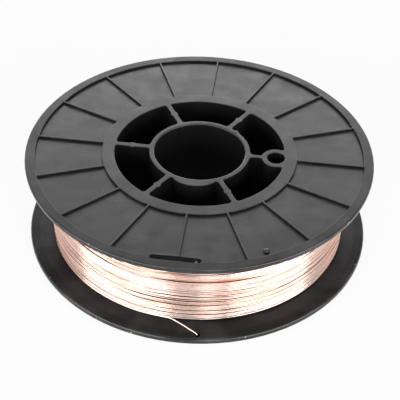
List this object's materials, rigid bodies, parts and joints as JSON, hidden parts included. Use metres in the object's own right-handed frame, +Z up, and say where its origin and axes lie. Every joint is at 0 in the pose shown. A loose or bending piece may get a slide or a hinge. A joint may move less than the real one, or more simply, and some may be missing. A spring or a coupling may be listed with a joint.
{
  "type": "welding wire spool",
  "caption": "Flat round plastic spool with ribbed flanges and a spoked hub round its bore, wound with copper-coated steel welding wire.",
  "frame": {"origin": "middle of the lower flange's outer face, which the spool lies on", "axes": "+Z up along the spool's axis; -Y towards the side with the wire slot and the wire's free end; the drive hole lies near +X"},
  "size_m": [0.2, 0.2, 0.055],
  "materials": {
    "spool_plastic": "black moulded plastic, satin, with fine mould texture and handling marks",
    "welding_wire": "drawn steel wire with a bright copper coat"
  },
  "bodies": {
    "root": {"spool": "spool_plastic", "wire_winding": "welding_wire"}
  },
  "joints": []
}
